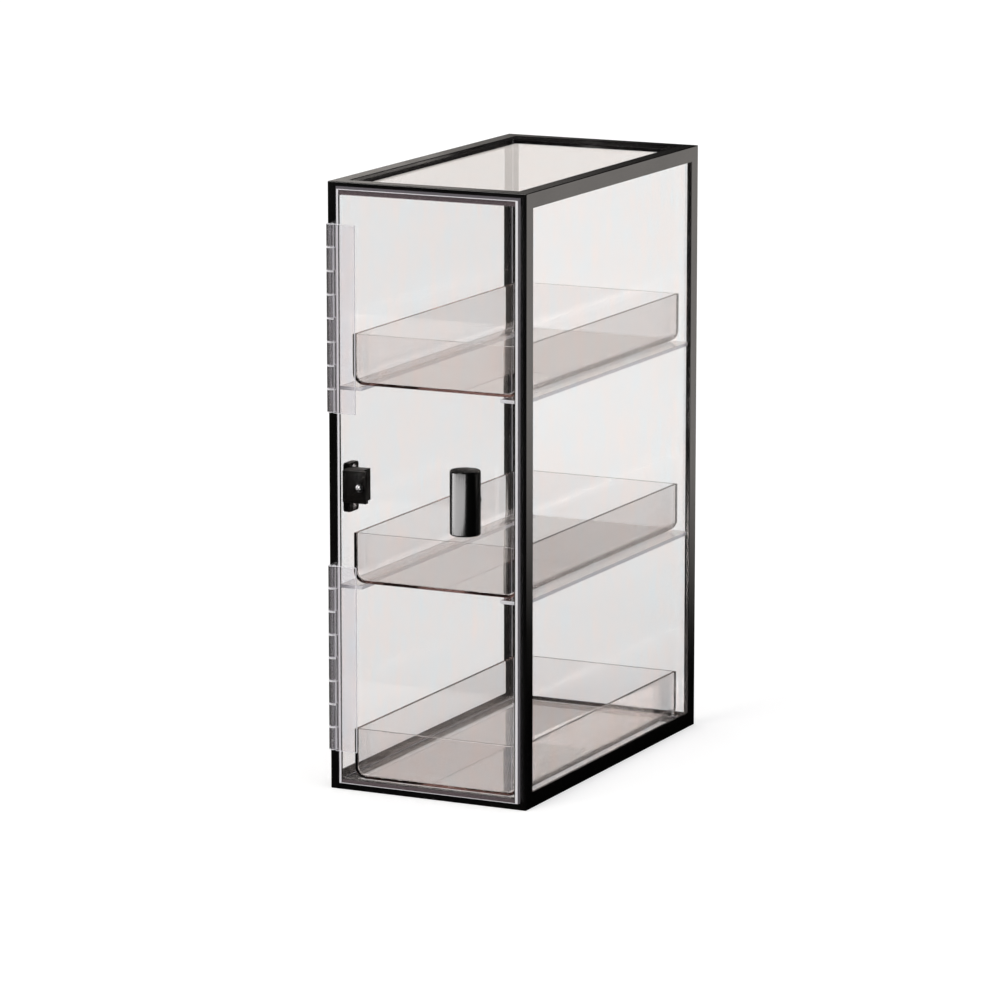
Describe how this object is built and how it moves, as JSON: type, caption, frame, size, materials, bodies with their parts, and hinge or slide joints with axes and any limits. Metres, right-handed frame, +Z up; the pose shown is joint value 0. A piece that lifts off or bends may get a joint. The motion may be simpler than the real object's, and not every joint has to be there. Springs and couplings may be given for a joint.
{
  "type": "bread display case",
  "caption": "Tall narrow countertop display case: black angle frame, clear acrylic panels, trays on ledges, and a hinged clear front door with a bar knob and a magnetic catch.",
  "frame": {"origin": "on the surface the case stands on, under the middle of its overall box with the door closed", "axes": "+Z up, the door and its knob face -Y, and the hinges are on the -X side of the door"},
  "size_m": [0.175, 0.3614, 0.495],
  "materials": {
    "frame_coat": "satin black powder coat on steel angle, with fine orange peel and softly rounded edges",
    "clear_acrylic": "polished clear acrylic sheet with bright edges",
    "tray_acrylic": "polished clear acrylic with a faint warm tint and thin dark edge lines",
    "hinge_acrylic": "clear extruded acrylic hinge with a faint lilac grey cast",
    "knob_black": "satin black anodised aluminium",
    "catch_black": "moulded black plastic",
    "bright_steel": "bright zinc plated steel",
    "ferrite": "dull dark grey ferrite"
  },
  "bodies": {
    "case": {"front_left_post": "frame_coat", "front_right_post": "frame_coat", "rear_left_post": "frame_coat", "rear_right_post": "frame_coat", "top_front_rail": "frame_coat", "top_rear_rail": "frame_coat", "top_left_rail": "frame_coat", "top_right_rail": "frame_coat", "bottom_front_rail": "frame_coat", "bottom_rear_rail": "frame_coat", "bottom_left_rail": "frame_coat", "bottom_right_rail": "frame_coat", "left_panel": "clear_acrylic", "right_panel": "clear_acrylic", "rear_panel": "clear_acrylic", "top_panel": "clear_acrylic", "floor_panel": "clear_acrylic", "upper_left_ledge": "clear_acrylic", "upper_right_ledge": "clear_acrylic", "middle_left_ledge": "clear_acrylic", "middle_right_ledge": "clear_acrylic", "upper_frame_leaf": "hinge_acrylic", "lower_frame_leaf": "hinge_acrylic", "upper_hinge_pin": "bright_steel", "lower_hinge_pin": "bright_steel", "catch_body": "catch_black", "catch_magnet": "ferrite", "catch_pole_plates": "bright_steel", "catch_screws": "bright_steel"},
    "door": {"door_panel": "clear_acrylic", "upper_door_leaf": "hinge_acrylic", "lower_door_leaf": "hinge_acrylic", "knob": "knob_black", "knob_spacer": "knob_black", "knob_washer": "bright_steel", "knob_screw": "bright_steel", "strike_plate": "catch_black", "strike_screw": "bright_steel"},
    "upper_tray": {"upper_tray_channel": "tray_acrylic", "upper_tray_front": "tray_acrylic", "upper_tray_back": "tray_acrylic"},
    "middle_tray": {"middle_tray_channel": "tray_acrylic", "middle_tray_front": "tray_acrylic", "middle_tray_back": "tray_acrylic"},
    "lower_tray": {"lower_tray_channel": "tray_acrylic", "lower_tray_front": "tray_acrylic", "lower_tray_back": "tray_acrylic"}
  },
  "joints": [
    {"name": "door_swing", "type": "hinge", "parent": "case", "child": "door", "pos_m": [-0.0835, -0.15265, 0.2475], "axis": [0, 0, -1], "range_deg": [0, 170]},
    {"name": "upper_tray_slide", "type": "slide", "parent": "case", "child": "upper_tray", "axis": [0, -1, 0], "range_m": [0, 0.0891]},
    {"name": "middle_tray_slide", "type": "slide", "parent": "case", "child": "middle_tray", "axis": [0, -1, 0], "range_m": [0, 0.0891]},
    {"name": "lower_tray_slide", "type": "slide", "parent": "case", "child": "lower_tray", "axis": [0, -1, 0], "range_m": [0, 0.0132]}
  ],
  "couplings": [
    {"joint": "upper_tray_slide", "follows": "door_swing", "m_per_rad": 0.03},
    {"joint": "middle_tray_slide", "follows": "door_swing", "m_per_rad": 0.03}
  ]
}
